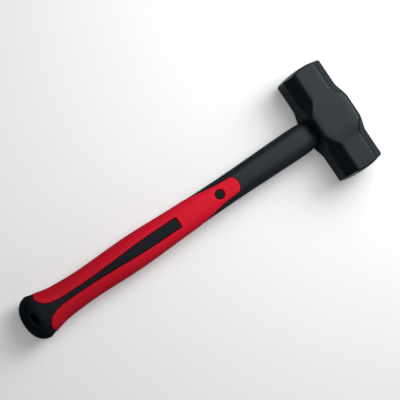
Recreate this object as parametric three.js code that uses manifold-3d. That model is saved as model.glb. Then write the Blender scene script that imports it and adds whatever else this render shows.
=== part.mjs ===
// A lump hammer: a double-faced forged head on a moulded handle with a glass-fibre core.
//
// Millimetres. The hammer lies on its side, as on a bench: +X runs along the handle to the crown of the
// head, +Y along the head from one striking face to the other, and +Z up out of the cheek. The origin is
// on the bench, at the centre of the lower cheek, straight under the middle of the eye.

import * as THREE from "three";
import { mergeVertices } from "three/addons/utils/BufferGeometryUtils.js";
import Module from "manifold-3d";

const wasm = await Module();
wasm.setup();

// ---------------------------------------------------------------------------------------------------
// Driving dimensions
// ---------------------------------------------------------------------------------------------------

const GAP = 0.3; // clearance between neighbouring pieces

const HEAD = {
  length: 125, // from one striking face to the other
  acrossFlats: 47.6, // octagonal ends
  acrossCheeks: 49.4, // square boss round the eye
  bossLength: 33, // full width across the cheeks, along Y
  cornerCut: 11.8, // how far each octagon corner is set back along its flats
  bossCornerCut: 2.5, // the same on the boss
  runOutStart: 11.5, // the corner cut starts to grow this far from the head's middle
  runOut: 16, // and is complete after this length
  runOutPower: 1.1, // 1 is straight, and more starts slower at the boss
  cheekFall: 10, // length over which the cheeks fall to the flats
  ringSpacing: 2, // between the rings of the run-out
  edgeBreak: 0.6, // small facet on every long edge
  faceRadius: 80, // crown of a striking face, across the head
  faceSquareness: 3, // the face runs straighter than that from cheek to cheek
  faceFlat: 8, // half-width of the flat spot in the middle of it
  rimWidth: 5, // bevel round a striking face
  rimFall: 2.8,
};

const EYE = { halfWidth: 15, halfThickness: 12, flare: 0.5, squareness: 2.4 };

const TANG = { halfWidth: 12.5, halfThickness: 9.5, squareness: 2.4, end: 23.4, root: 10 };
const CORE = { halfWidth: 8.5, halfThickness: 6.2, squareness: 2.4, start: -366, end: 23.8 };
const SEAL_LENGTH = 7; // rubber ring at the handle side of the eye
const RESIN_END = 23;

const BUTT_END = -390; // far end of the handle
const FLARE = -373; // widest place of the butt
const DOME_SQUARENESS = 2.15; // the butt's end, from the flare to the tip
const DOME_TIP_TURN = 0.12; // radians from the axis to the dome's last ring, which leaves a small flat

// Landmarks of the handle's outer surface. A squareness of 2 is an ellipse, and more is squarer.
const HANDLE = [
  { x: FLARE, halfWidth: 24, halfThickness: 18.2, squareness: 2.3 },
  { x: -366, halfWidth: 22, halfThickness: 16.6, squareness: 2.3 },
  { x: -345, halfWidth: 17.8, halfThickness: 13.7, squareness: 2.4 },
  { x: -313, halfWidth: 16.4, halfThickness: 12.7, squareness: 2.5 },
  { x: -256, halfWidth: 17.7, halfThickness: 13.9, squareness: 2.5 },
  { x: -195, halfWidth: 15.8, halfThickness: 12.6, squareness: 2.7 },
  { x: -137, halfWidth: 14.9, halfThickness: 12, squareness: 3 },
  { x: -60, halfWidth: 15.9, halfThickness: 12.7, squareness: 3 },
  { x: -24, halfWidth: 16.1, halfThickness: 12.9, squareness: 3 },
];

// The handle's end at the head is rounded off over this length, down to the tang.
const SHOULDER_ROUND = { start: -48, fall: 3.2, squareness: 2 };

const GRIP_THICKNESS = 3; // below the handle's outer surface
const GRIP_PROUD = 0.5; // above it
const GRIP_SHOULDER = -190; // the grip goes all the way round the handle behind this place
const SHOULDER_HALF_WIDTH = 16.9;
const TONGUE = {
  neck: -145,
  base: -131,
  tip: -123.7,
  neckHalfWidth: 10,
  halfWidth: 9.3,
  bendLength: 4, // the bend at the neck starts this far towards the butt, and this much wider
  bendRise: 0.6,
};

const PLUG = { x: -147.8, radius: 5.3 };

// One side of the channel in the grip, from the square end of the palm inlay to the grip's butt end.
const CHANNEL_SIDE = [
  [-200.5, 6.2],
  [-245, 6.1],
  [-280, 4.3],
  [-311, 3],
  [-340, 3.1],
  [-353, 4],
  [-363.5, 7.2],
  [-368.5, 12],
  [-370.2, 16.5],
  [-369.2, 19.5],
  [-366.3, 22.3],
  [-359, 26.5],
];
const INLAY_TAIL = -351; // the palm inlay ends here, and the butt cap begins

const HANG_HOLE = { x: -381.5, length: 5.6, width: 11.6 };
const JACKET_START = -371.5;

const OUTSIDE = 60; // a length that reaches past the handle everywhere
const PAST = 1; // how far a cutter reaches past what it cuts
const SPARE = 4; // how far a blank reaches past the outline it is cut to
const HANDLE_SIDES = 32;
const EYE_SIDES = 32;
const OCTAGON_CORNERS = 8;
const RING_SPACING = 12; // between the handle's rings
const DOME_STEP = Math.PI / 16; // turn between the rings of the butt's end
const SHOULDER_STEP = Math.PI / 12; // the same of the rounding at the head
const CHANNEL_STEPS = 32;
const ARC_STEPS = 12; // in each arc of an outline

const AXIS_HEIGHT = HEAD.acrossCheeks / 2; // of the handle's axis above the bench
const HEAD_UNDERSIDE = -HEAD.acrossCheeks / 2;
const SHOULDER = HEAD_UNDERSIDE - GAP; // the bare shaft ends here

// ---------------------------------------------------------------------------------------------------
// Shape helpers
// ---------------------------------------------------------------------------------------------------

const { clamp, lerp, smoothstep } = THREE.MathUtils;

// A smooth curve through landmarks in order of x that never overshoots one: a monotone cubic.
function profile(landmarks, key) {
  const last = landmarks.length - 1;
  const span = (i) => landmarks[i + 1].x - landmarks[i].x;
  const slope = (i) => (landmarks[i + 1][key] - landmarks[i][key]) / span(i);
  const tangent = (i) => {
    const [before, after] = [slope(Math.max(i - 1, 0)), slope(Math.min(i, last - 1))];
    return before * after > 0 ? (2 * before * after) / (before + after) : 0;
  };
  return (x) => {
    const place = clamp(x, landmarks[0].x, landmarks[last].x);
    const i = Math.min(landmarks.findLastIndex((mark) => mark.x <= place), last - 1);
    const t = (place - landmarks[i].x) / span(i);
    const straight = lerp(landmarks[i][key], landmarks[i + 1][key], t * t * (3 - 2 * t));
    const leaving = t * (1 - t) ** 2 * tangent(i);
    const arriving = t ** 2 * (t - 1) * tangent(i + 1);
    return straight + span(i) * (leaving + arriving);
  };
}

// Evenly spaced numbers from one to the other, both included.
function steps(from, to, spacing) {
  const count = Math.max(1, Math.round(Math.abs(to - from) / spacing));
  return Array.from({ length: count + 1 }, (_, i) => lerp(from, to, i / count));
}

// A point of a superellipse, `turn` of the way round it.
function superellipse(halfWidth, halfThickness, squareness, turn) {
  const angle = 2 * Math.PI * turn;
  const power = (value) => Math.sign(value) * Math.abs(value) ** (2 / squareness);
  return [halfWidth * power(Math.cos(angle)), halfThickness * power(Math.sin(angle))];
}

// A closed body along X. Each station's ring is a turn of points (y, z) from pointAt(station, turn).
function loft(stations, sides, pointAt) {
  const geometry = new THREE.CylinderGeometry(1, 1, 1, sides, stations.length - 1);
  const position = geometry.attributes.position;
  for (let i = 0; i < position.count; i++) {
    const ring = Math.round((position.getY(i) + 0.5) * (stations.length - 1));
    const angle = Math.atan2(position.getX(i), position.getZ(i));
    const turn = (Math.round((angle / (2 * Math.PI)) * sides + sides) % sides) / sides;
    const [y, z] = pointAt(stations[ring], turn);
    const reach = Math.hypot(position.getX(i), position.getZ(i)); // 0 at the middle of an end, else 1
    position.setXYZ(i, stations[ring], y * reach, z * reach);
  }
  return geometry;
}

function solid(geometry) {
  const bare = geometry.clone();
  bare.deleteAttribute("normal");
  bare.deleteAttribute("uv");
  const merged = mergeVertices(bare, 1e-4);
  return new wasm.Manifold(
    new wasm.Mesh({
      numProp: 3,
      vertProperties: merged.attributes.position.array,
      triVerts: new Uint32Array(merged.index.array),
    }),
  );
}

function geometryOf(body) {
  const { vertProperties, triVerts } = body.getMesh();
  const geometry = new THREE.BufferGeometry();
  geometry.setAttribute("position", new THREE.BufferAttribute(vertProperties, 3));
  geometry.setIndex(new THREE.BufferAttribute(triVerts, 1));
  geometry.computeVertexNormals();
  return geometry;
}

// An outline in plan (x, y), made into a solid from one height to another.
function prism(shape, bottom, top) {
  const depth = top - bottom;
  const settings = { depth, bevelEnabled: false, curveSegments: ARC_STEPS };
  const geometry = new THREE.ExtrudeGeometry(shape, settings);
  return solid(geometry.translate(0, 0, bottom));
}

function throughPrism(shape) {
  return prism(shape, -OUTSIDE, OUTSIDE);
}

// ---------------------------------------------------------------------------------------------------
// Handle surfaces and outlines
// ---------------------------------------------------------------------------------------------------

const halfWidthAt = profile(HANDLE, "halfWidth");
const halfThicknessAt = profile(HANDLE, "halfThickness");
const squarenessAt = profile(HANDLE, "squareness");

// How much the butt's dome shrinks the section: 1 up to the flare and 0 at the tip.
function domeScale(x) {
  const along = clamp((FLARE - x) / (FLARE - BUTT_END), 0, 1);
  return (1 - along ** DOME_SQUARENESS) ** (1 / DOME_SQUARENESS);
}

// How far the rounding at the head end takes the surface in.
function shoulderFall(x) {
  const { start, fall, squareness } = SHOULDER_ROUND;
  const along = clamp((x - start) / (SHOULDER - start), 0, 1);
  return fall * (1 - (1 - along ** squareness) ** (1 / squareness));
}

// The handle's body between two places, grown (or shrunk, if negative) by an offset all round.
function handleBody(from, to, offset) {
  const dome = from < FLARE ? domeStations(from) : [];
  const shaft = steps(Math.max(from, FLARE), Math.min(to, SHOULDER_ROUND.start), RING_SPACING);
  const shoulder = to > SHOULDER_ROUND.start ? shoulderStations(to) : [];
  return solid(
    loft([...dome, ...shaft, ...shoulder], HANDLE_SIDES, (x, turn) => {
      const scale = domeScale(x);
      const growth = offset - shoulderFall(x);
      const halfWidth = halfWidthAt(x) * scale + growth;
      const halfThickness = halfThicknessAt(x) * scale + growth;
      return superellipse(halfWidth, halfThickness, squarenessAt(x), turn);
    }),
  );
}

// Stations that close up towards the dome's tip, where it turns fastest.
function domeStations(from) {
  const turns = steps(DOME_TIP_TURN, Math.PI / 2, DOME_STEP).slice(0, -1);
  return turns.map((turn) => FLARE + (from - FLARE) * Math.cos(turn));
}

function shoulderStations(to) {
  const turns = steps(0, Math.PI / 2, SHOULDER_STEP).slice(1);
  return turns.map((turn) => lerp(SHOULDER_ROUND.start, to, Math.sin(turn)));
}

function rod({ halfWidth, halfThickness, squareness }, from, to, offset = 0) {
  const ring = (x, turn) => superellipse(halfWidth + offset, halfThickness + offset, squareness, turn);
  return solid(loft([from, to], EYE_SIDES, ring));
}

// The eye widens a little towards the crown, so that the set resin is a wedge.
function eyeBody(from, to, offset) {
  return solid(
    loft([from, to], EYE_SIDES, (x, turn) => {
      const widening = (EYE.flare * x) / (HEAD.acrossCheeks / 2) + offset;
      return superellipse(EYE.halfWidth + widening, EYE.halfThickness + widening, EYE.squareness, turn);
    }),
  );
}

// The grip in plan: all the width of the handle at the butt, narrowing to a tongue towards the head.
function gripOutline(grow) {
  const { neck, base, tip, neckHalfWidth, halfWidth, bendLength, bendRise } = TONGUE;
  const bend = neckHalfWidth + bendRise + grow;
  const shape = new THREE.Shape();
  shape.moveTo(BUTT_END - OUTSIDE, -OUTSIDE);
  shape.lineTo(GRIP_SHOULDER, -OUTSIDE);
  shape.lineTo(GRIP_SHOULDER, -SHOULDER_HALF_WIDTH - grow);
  shape.lineTo(neck - bendLength, -bend);
  shape.quadraticCurveTo(neck, -neckHalfWidth - grow, base, -halfWidth - grow);
  shape.absellipse(base, 0, tip - base + grow, halfWidth + grow, -Math.PI / 2, Math.PI / 2);
  shape.quadraticCurveTo(neck, neckHalfWidth + grow, neck - bendLength, bend);
  shape.lineTo(GRIP_SHOULDER, SHOULDER_HALF_WIDTH + grow);
  shape.lineTo(GRIP_SHOULDER, OUTSIDE);
  shape.lineTo(BUTT_END - OUTSIDE, OUTSIDE);
  return shape;
}

// The black channel in plan, from the inlay's square end to past the butt, with its sides set in.
function channelOutline(inset) {
  const side = new THREE.SplineCurve(CHANNEL_SIDE.map(([x, y]) => new THREE.Vector2(x, y)));
  const upper = steps(0, 1, 1 / CHANNEL_STEPS).map((t) => {
    const inward = side.getTangentAt(t).rotateAround(new THREE.Vector2(), Math.PI / 2);
    return side.getPointAt(t).addScaledVector(inward, inset);
  });
  upper[0].x = CHANNEL_SIDE[0][0] - inset;
  const far = [OUTSIDE, -OUTSIDE].map((y) => new THREE.Vector2(BUTT_END - OUTSIDE, y));
  const lower = upper.map(({ x, y }) => new THREE.Vector2(x, -y)).reverse();
  return new THREE.Shape([...upper, ...far, ...lower]);
}

function box(xFrom, xTo, zFrom, zTo) {
  const outline = new THREE.Shape();
  outline.moveTo(xFrom, -OUTSIDE);
  outline.lineTo(xTo, -OUTSIDE);
  outline.lineTo(xTo, OUTSIDE);
  outline.lineTo(xFrom, OUTSIDE);
  return prism(outline, zFrom, zTo);
}

function disc(x, radius) {
  const outline = new THREE.Shape();
  outline.absarc(x, 0, radius, 0, 2 * Math.PI);
  return outline;
}

// ---------------------------------------------------------------------------------------------------
// Head
// ---------------------------------------------------------------------------------------------------

// A point of a square with cut corners. Each corner of the octagon is two points, one to either side
// of it, so that a small facet breaks its edge.
function octagonPoint(half, cut, turn) {
  const index = Math.round(turn * OCTAGON_CORNERS * 2);
  const corner = Math.floor(index / 2);
  const place = (k) => {
    const quarter = Math.floor(k / 2) * (Math.PI / 2);
    const local = new THREE.Vector2(half, k % 2 ? half - cut : cut - half);
    return local.rotateAround(new THREE.Vector2(), quarter);
  };
  const here = place(corner);
  const neighbour = place(index % 2 ? corner + 1 : corner - 1 + OCTAGON_CORNERS);
  const towards = neighbour.sub(here).setLength(HEAD.edgeBreak);
  return here.add(towards).toArray();
}

// Half-width and corner cut of the head's section at a distance from its middle.
function headSection(distance) {
  const boss = HEAD.bossLength / 2;
  const fall = smoothstep(distance, boss, boss + HEAD.cheekFall);
  const cutting = clamp((distance - HEAD.runOutStart) / HEAD.runOut, 0, 1) ** HEAD.runOutPower;
  return {
    half: lerp(HEAD.acrossCheeks, HEAD.acrossFlats, fall) / 2,
    cut: lerp(HEAD.bossCornerCut, HEAD.cornerCut, cutting),
  };
}

// Rings from the middle of the head to one striking face: distance, half-width, corner cut, and how much
// of the width and of the thickness between the cheeks is left.
function headRings() {
  const runOutEnd = HEAD.runOutStart + HEAD.runOut;
  const rings = [0, ...steps(HEAD.runOutStart, runOutEnd, HEAD.ringSpacing)].map((distance) => ({
    distance,
    ...headSection(distance),
    across: 1,
    upright: 1,
  }));
  const { half, cut } = rings.at(-1);
  const faceFall = (reach) => HEAD.length / 2 - (reach * reach) / (2 * HEAD.faceRadius);
  const shrunk = (reach, distance) => {
    const across = reach / half;
    return { distance, half, cut, across, upright: 1 - (1 - across) ** HEAD.faceSquareness };
  };
  const rim = half - HEAD.rimWidth;
  const crown = (rim + HEAD.faceFlat) / 2;
  rings.push(shrunk(half, faceFall(rim) - HEAD.rimFall));
  rings.push(shrunk(rim, faceFall(rim)));
  rings.push(shrunk(crown, faceFall(crown)));
  rings.push(shrunk(HEAD.faceFlat, HEAD.length / 2));
  return rings;
}

function hammerHead() {
  const towardsFace = headRings();
  const rings = [
    ...towardsFace.slice(1).reverse().map((ring) => ({ ...ring, distance: -ring.distance })),
    ...towardsFace,
  ];
  const ringAt = new Map(rings.map((ring) => [ring.distance, ring]));
  const stations = rings.map((ring) => ring.distance);
  const block = loft(stations, OCTAGON_CORNERS * 2, (distance, turn) => {
    const { half, cut, across, upright } = ringAt.get(distance);
    const [x, z] = octagonPoint(half, cut, turn);
    return [x * across, z * upright];
  }).rotateZ(Math.PI / 2);
  const reach = HEAD.acrossCheeks / 2 + PAST;
  return solid(block).subtract(eyeBody(-reach, reach, 0));
}

// ---------------------------------------------------------------------------------------------------
// Handle pieces, about the handle's own axis
// ---------------------------------------------------------------------------------------------------

function fibreglassCore() {
  return rod(CORE, CORE.start, CORE.end);
}

// The hard jacket: full size on the bare shaft, set back under the grip, and a tang through the eye.
function handleJacket() {
  const carrier = handleBody(JACKET_START, SHOULDER - TANG.root, -GRIP_THICKNESS - GAP);
  const shaft = handleBody(GRIP_SHOULDER, SHOULDER, 0).subtract(throughPrism(gripOutline(GAP)));
  const tang = rod(TANG, SHOULDER - TANG.root, TANG.end);
  const bore = rod(CORE, CORE.start - GAP, CORE.end + OUTSIDE, GAP);
  return carrier.add(shaft).add(tang).subtract(bore);
}

function softGrip() {
  const start = Math.min(...CHANNEL_SIDE.map(([x]) => x)) - SPARE;
  const end = TONGUE.tip + SPARE;
  const inside = handleBody(start - PAST, end + PAST, -GRIP_THICKNESS);
  const sleeve = handleBody(start, end, GRIP_PROUD).subtract(inside);
  return sleeve
    .intersect(throughPrism(gripOutline(0)))
    .subtract(throughPrism(channelOutline(0)))
    .subtract(throughPrism(disc(PLUG.x, PLUG.radius)));
}

// The skin that inlays and plugs are cut from, flush with the bare shaft: the front or the back half.
function skinHalf(from, to, side) {
  const skin = handleBody(from, to, 0).subtract(handleBody(from - PAST, to + PAST, -GRIP_THICKNESS));
  const half = side > 0 ? [0, OUTSIDE] : [-OUTSIDE, 0];
  return skin.intersect(box(from - PAST, to + PAST, ...half));
}

function palmInlay(side) {
  const squareEnd = CHANNEL_SIDE[0][0] + SPARE;
  return skinHalf(INLAY_TAIL, squareEnd, side).intersect(throughPrism(channelOutline(GAP)));
}

function tonguePlug(side) {
  const reach = PLUG.radius + SPARE;
  const skin = skinHalf(PLUG.x - reach, PLUG.x + reach, side);
  return skin.intersect(throughPrism(disc(PLUG.x, PLUG.radius - GAP)));
}

function buttCap() {
  const top = INLAY_TAIL - GAP;
  const hole = new THREE.Shape();
  const radius = HANG_HOLE.length / 2;
  const straight = HANG_HOLE.width / 2 - radius;
  hole.absarc(HANG_HOLE.x, straight, radius, 0, Math.PI);
  hole.absarc(HANG_HOLE.x, -straight, radius, Math.PI, 2 * Math.PI);
  return handleBody(BUTT_END, top, 0)
    .intersect(throughPrism(channelOutline(GAP)))
    .subtract(handleBody(JACKET_START - GAP, top + PAST, -GRIP_THICKNESS))
    .subtract(throughPrism(hole));
}

// A ring in the eye round the tang.
function eyeRing(from, to) {
  return eyeBody(from, to, -GAP).subtract(rod(TANG, from - PAST, to + PAST, GAP));
}

function eyeSeal() {
  return eyeRing(HEAD_UNDERSIDE + GAP, HEAD_UNDERSIDE + SEAL_LENGTH);
}

function eyeEpoxy() {
  return eyeRing(HEAD_UNDERSIDE + SEAL_LENGTH + GAP, RESIN_END);
}

// ---------------------------------------------------------------------------------------------------
// Assembly
// ---------------------------------------------------------------------------------------------------

const materials = {
  forgedBlack: () => new THREE.MeshStandardMaterial({ color: 0x3a4145, roughness: 0.42, metalness: 0.6 }),
  hardBlack: () => new THREE.MeshStandardMaterial({ color: 0x2b3033, roughness: 0.55, metalness: 0 }),
  softBlack: () => new THREE.MeshStandardMaterial({ color: 0x16191b, roughness: 0.75, metalness: 0 }),
  softRed: () => new THREE.MeshStandardMaterial({ color: 0xc81f34, roughness: 0.6, metalness: 0 }),
  glassFibre: () => new THREE.MeshStandardMaterial({ color: 0xc9b98a, roughness: 0.5, metalness: 0 }),
  resin: () => new THREE.MeshStandardMaterial({ color: 0x5a4a32, roughness: 0.25, metalness: 0 }),
};

function part(name, body, material) {
  const mesh = new THREE.Mesh(geometryOf(body), material);
  mesh.name = name;
  return mesh;
}

const handle = new THREE.Group();
handle.add(
  part("fibreglass_core", fibreglassCore(), materials.glassFibre()),
  part("handle_jacket", handleJacket(), materials.hardBlack()),
  part("soft_grip", softGrip(), materials.softRed()),
  part("palm_inlay_front", palmInlay(1), materials.softBlack()),
  part("palm_inlay_back", palmInlay(-1), materials.softBlack()),
  part("tongue_plug_front", tonguePlug(1), materials.softBlack()),
  part("tongue_plug_back", tonguePlug(-1), materials.softBlack()),
  part("butt_cap", buttCap(), materials.softBlack()),
);

const headAssembly = new THREE.Group();
headAssembly.add(
  part("hammer_head", hammerHead(), materials.forgedBlack()),
  part("eye_epoxy", eyeEpoxy(), materials.resin()),
  part("eye_seal", eyeSeal(), materials.softBlack()),
);

const hammer = new THREE.Group();
hammer.add(headAssembly, handle);
hammer.position.z = AXIS_HEIGHT;

const root = new THREE.Group();
root.add(hammer);

export default root;
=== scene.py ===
"""A lump hammer lying on a pale bench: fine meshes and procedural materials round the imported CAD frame.

Metres, in the frame's own axes: +X along the handle to the crown of the head, +Y along the head, +Z up.
The handle's pieces are built as one quarter of each and mirrored, because the handle is the same above
and below, left and right. A quarter is a sheet of points (x, turn) on the handle's surface, where turn
runs from 0 at the side to a right angle at the front, each with a height above that surface.
"""

import math

import bmesh
import bpy
import numpy as np
from mathutils import Matrix, Vector, geometry


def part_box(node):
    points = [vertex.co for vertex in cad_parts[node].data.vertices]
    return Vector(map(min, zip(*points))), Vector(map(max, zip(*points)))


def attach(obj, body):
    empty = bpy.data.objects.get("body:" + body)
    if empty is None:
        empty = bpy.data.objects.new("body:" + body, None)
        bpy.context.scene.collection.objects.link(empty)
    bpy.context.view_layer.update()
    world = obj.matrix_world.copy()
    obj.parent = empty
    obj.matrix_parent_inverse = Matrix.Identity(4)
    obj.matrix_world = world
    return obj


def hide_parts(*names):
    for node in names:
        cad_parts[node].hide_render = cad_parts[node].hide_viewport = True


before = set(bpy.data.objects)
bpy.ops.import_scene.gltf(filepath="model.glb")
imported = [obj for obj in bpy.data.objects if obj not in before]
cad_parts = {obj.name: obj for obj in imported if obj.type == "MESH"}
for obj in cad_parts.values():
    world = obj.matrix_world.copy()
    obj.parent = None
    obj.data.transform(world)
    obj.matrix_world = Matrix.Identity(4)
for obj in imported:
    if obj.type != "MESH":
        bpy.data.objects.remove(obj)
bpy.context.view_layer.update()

MM = 0.001
FRONT = math.pi / 2  # the turn of the handle's front centre line; its side line is at 0
TINY = 1e-9

# ---------------------------------------------------------------------------------------------------
# Places read from the frame
# ---------------------------------------------------------------------------------------------------

head_low, head_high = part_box("hammer_head")
cap_low, cap_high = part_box("butt_cap")
grip_low, grip_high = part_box("soft_grip")
jacket_low, jacket_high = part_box("handle_jacket")
core_low, core_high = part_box("fibreglass_core")
inlay_low, inlay_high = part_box("palm_inlay_front")
plug_low, plug_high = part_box("tongue_plug_front")
seal_low, seal_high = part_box("eye_seal")
resin_low, resin_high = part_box("eye_epoxy")

AXIS_Z = (head_low.z + head_high.z) / 2  # height of the handle's axis
GAP = resin_low.x - seal_high.x  # the clearance the frame leaves between neighbouring pieces
UNDERSIDE = head_low.x  # of the head, where the handle enters it
SHOULDER = UNDERSIDE - GAP
BUTT_END = cap_low.x
FLARE_HALF_WIDTH = cap_high.y
PLUG_X = (plug_low.x + plug_high.x) / 2
PLUG_RADIUS = (plug_high.x - plug_low.x) / 2
INLAY_END = inlay_high.x
INLAY_TAIL = inlay_low.x
INLAY_HALF_WIDTH = inlay_high.y
TONGUE_TIP = grip_high.x

# ---------------------------------------------------------------------------------------------------
# The handle's surface
# ---------------------------------------------------------------------------------------------------


def profile(*landmarks):
    """A smooth curve through (place, value) landmarks that never overshoots one: a monotone cubic."""
    x, y = np.array(landmarks, float).T
    step = np.diff(x)
    slope = np.diff(y) / step
    before, after = np.r_[slope[0], slope], np.r_[slope, slope[-1]]
    same = before * after > 0
    tangent = np.where(same, 2 * before * after / np.where(same, before + after, 1), 0)

    def at(place):
        place = np.clip(np.asarray(place, float), x[0], x[-1])
        i = np.clip(np.searchsorted(x, place, side="right") - 1, 0, len(x) - 2)
        t = (place - x[i]) / step[i]
        level = y[i] * (1 + 2 * t) * (1 - t) ** 2 + y[i + 1] * t * t * (3 - 2 * t)
        return level + step[i] * (t * (1 - t) ** 2 * tangent[i] + t * t * (t - 1) * tangent[i + 1])

    return at


FLARE = BUTT_END + 17 * MM  # the widest place of the butt
FLARE_HALF_THICKNESS = 18.2 * MM
DOME_SQUARENESS = 2.15
LANDMARKS = (  # place, half-width and half-thickness in millimetres, and squareness: 2 is an ellipse
    (FLARE / MM, FLARE_HALF_WIDTH / MM, FLARE_HALF_THICKNESS / MM, 2.3),
    (-366, 22, 16.6, 2.3),
    (-345, 17.8, 13.7, 2.4),
    (-313, 16.4, 12.7, 2.5),
    (-256, 17.7, 13.9, 2.5),
    (-195, 15.8, 12.6, 2.7),
    (-137, 14.9, 12, 3),
    (-60, 15.9, 12.7, 3),
    (-24, 16.1, 12.9, 3),
)
ROUND_START, ROUND_FALL, ROUND_SQUARENESS = -48 * MM, 3.2 * MM, 2  # the rounding at the head end
half_width_at = profile(*((x * MM, width * MM) for x, width, _, _ in LANDMARKS))
half_thickness_at = profile(*((x * MM, thick * MM) for x, _, thick, _ in LANDMARKS))
squareness_at = profile(*((x * MM, square) for x, _, _, square in LANDMARKS))


def dome_scale(x):
    """How much the butt's dome shrinks the section: 1 up to the flare and 0 at the tip."""
    along = np.clip((FLARE - x) / (FLARE - BUTT_END), 0, 1)
    return (1 - along**DOME_SQUARENESS) ** (1 / DOME_SQUARENESS)


def shoulder_fall(x):
    """How far the rounding at the head end takes the surface in."""
    along = np.clip((x - ROUND_START) / (SHOULDER - ROUND_START), 0, 1)
    return ROUND_FALL * (1 - (1 - along**ROUND_SQUARENESS) ** (1 / ROUND_SQUARENESS))


def section(x):
    """Half-width, half-thickness and squareness at a place along the handle."""
    scale = np.maximum(dome_scale(x), 1e-6)  # never 0, so that the tip still has a normal
    fall = shoulder_fall(x)
    return half_width_at(x) * scale - fall, half_thickness_at(x) * scale - fall, squareness_at(x)


def at_front(turn):
    return turn >= FRONT - TINY


def at_side(turn):
    return turn <= TINY


def on_seams(vectors, turn):
    """The same vectors, with those at the front or side line kept in its plane."""
    vectors[..., 1] = np.where(at_front(turn), 0, vectors[..., 1])
    vectors[..., 2] = np.where(at_side(turn), 0, vectors[..., 2])
    return vectors


def surface(x, turn):
    """Points of the handle's surface about its own axis, and the unit normals there."""
    x, turn = np.broadcast_arrays(np.asarray(x, float), np.asarray(turn, float))
    b, a, n = section(x)
    cos, sin = np.clip(np.cos(turn), 0, 1), np.clip(np.sin(turn), 0, 1)
    v, w = cos ** (2 / n), sin ** (2 / n)
    nudge = 0.01 * MM
    ahead, behind = section(x + nudge), section(x - nudge)
    growth_b = (ahead[0] - behind[0]) / (2 * nudge)
    growth_a = (ahead[1] - behind[1]) / (2 * nudge)
    along = -(v**n) * growth_b / b - w**n * growth_a / a
    normal = on_seams(np.stack([along, v ** (n - 1) / b, w ** (n - 1) / a], axis=-1), turn)
    normal /= np.linalg.norm(normal, axis=-1, keepdims=True)
    return on_seams(np.stack([x, b * v, a * w], axis=-1), turn), normal


def turn_of(x, y, z):
    """The turn of the surface point that a point (x, y, z) near the surface is level with."""
    b, a, n = section(x)
    across, up = np.maximum(y, 0) / b, np.maximum(z, 0) / a
    return np.arctan2(up ** (n / 2), across ** (n / 2))


def turn_at_width(x, y):
    """The turn at which the surface reaches a distance y to the side, seen in plan."""
    b, _, n = section(x)
    return np.arccos(np.clip(y / b, 0, 1) ** (n / 2))


# A chart flattens the surface so that a sheet can be triangulated in it.

WRAP = 16 * MM  # mean radius of the handle


def polar_angle(x, turn):
    n = squareness_at(x)
    return np.arctan2(np.clip(np.cos(turn), 0, 1) ** (2 / n), np.clip(np.sin(turn), 0, 1) ** (2 / n))


def turn_from_polar(x, angle):
    n = squareness_at(x)
    up, across = np.clip(np.cos(angle), 0, 1), np.clip(np.sin(angle), 0, 1)
    return np.arctan2(up ** (n / 2), across ** (n / 2))


class LongChart:
    """For sheets along the handle: x one way, the way round the other."""

    @staticmethod
    def flatten(x, turn):
        return np.stack([x, WRAP * polar_angle(x, turn)], axis=-1)

    @staticmethod
    def unflatten(points):
        x = points[:, 0]
        return x, turn_from_polar(x, points[:, 1] / WRAP)


class DomeChart:
    """For the butt: rings round the tip, each as far out as its distance along the surface."""

    places = BUTT_END + (UNDERSIDE - BUTT_END) * np.linspace(0, 1, 4000) ** 2
    radii = (section(places)[0] + section(places)[1]) / 2
    reach = np.r_[0, np.cumsum(np.hypot(np.diff(places), np.diff(radii)))]

    @classmethod
    def flatten(cls, x, turn):
        out = np.interp(x, cls.places, cls.reach)
        angle = polar_angle(x, turn)
        return np.stack([out * np.cos(angle), out * np.sin(angle)], axis=-1)

    @classmethod
    def unflatten(cls, points):
        x = np.interp(np.hypot(points[:, 0], points[:, 1]), cls.reach, cls.places)
        return x, turn_from_polar(x, np.arctan2(points[:, 1], points[:, 0]))


# ---------------------------------------------------------------------------------------------------
# Outlines, in plan: (x, y) with y on one side of the centre line
# ---------------------------------------------------------------------------------------------------

SHOULDER_OF_GRIP = -190 * MM  # the grip goes all the way round the handle behind this place
SHOULDER_HALF_WIDTH = 16.9 * MM
TONGUE_NECK, NECK_HALF_WIDTH = -145 * MM, 10 * MM
NECK_RUN, NECK_GROWTH = 4 * MM, 0.6 * MM  # where the bend at the neck ends, behind it and outside it
TONGUE_BASE, TONGUE_HALF_WIDTH = -131 * MM, 9.3 * MM
CHANNEL = (  # one side of the black channel, from the inlay's square end to past the grip's lobes
    (INLAY_END + GAP, INLAY_HALF_WIDTH + GAP),
    (-245 * MM, 6.1 * MM),
    (-280 * MM, 4.3 * MM),
    (-311 * MM, 3 * MM),
    (-340 * MM, 3.1 * MM),
    (-353 * MM, 4 * MM),
    (-363.5 * MM, 7.2 * MM),
    (-368.5 * MM, 12 * MM),
    (-370.2 * MM, 16.5 * MM),
    (-369.2 * MM, 19.5 * MM),
    (-366.3 * MM, 22.3 * MM),
    (-359 * MM, 26.5 * MM),
)
CORNER = 1.3 * MM  # radius at the inlay's square end
HOLE_X, HOLE_LENGTH, HOLE_WIDTH = -381.5 * MM, 5.6 * MM, 11.6 * MM
HOLE_EDGE = 1.8 * MM  # radius at the mouths of the hang hole


def spline(points, per_span=40):
    """A Catmull-Rom curve through points."""
    points = np.array(points, float)
    padded = np.vstack([points[:1], points, points[-1:]])
    t = np.linspace(0, 1, per_span, endpoint=False)[:, None]
    curve = []
    for p0, p1, p2, p3 in zip(padded, padded[1:], padded[2:], padded[3:]):
        v1, v2 = (p2 - p0) / 2, (p3 - p1) / 2
        curve.append(
            (2 * p1 - 2 * p2 + v1 + v2) * t**3 + (3 * (p2 - p1) - 2 * v1 - v2) * t**2 + v1 * t + p1
        )
    return np.vstack([*curve, points[-1:]])


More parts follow.
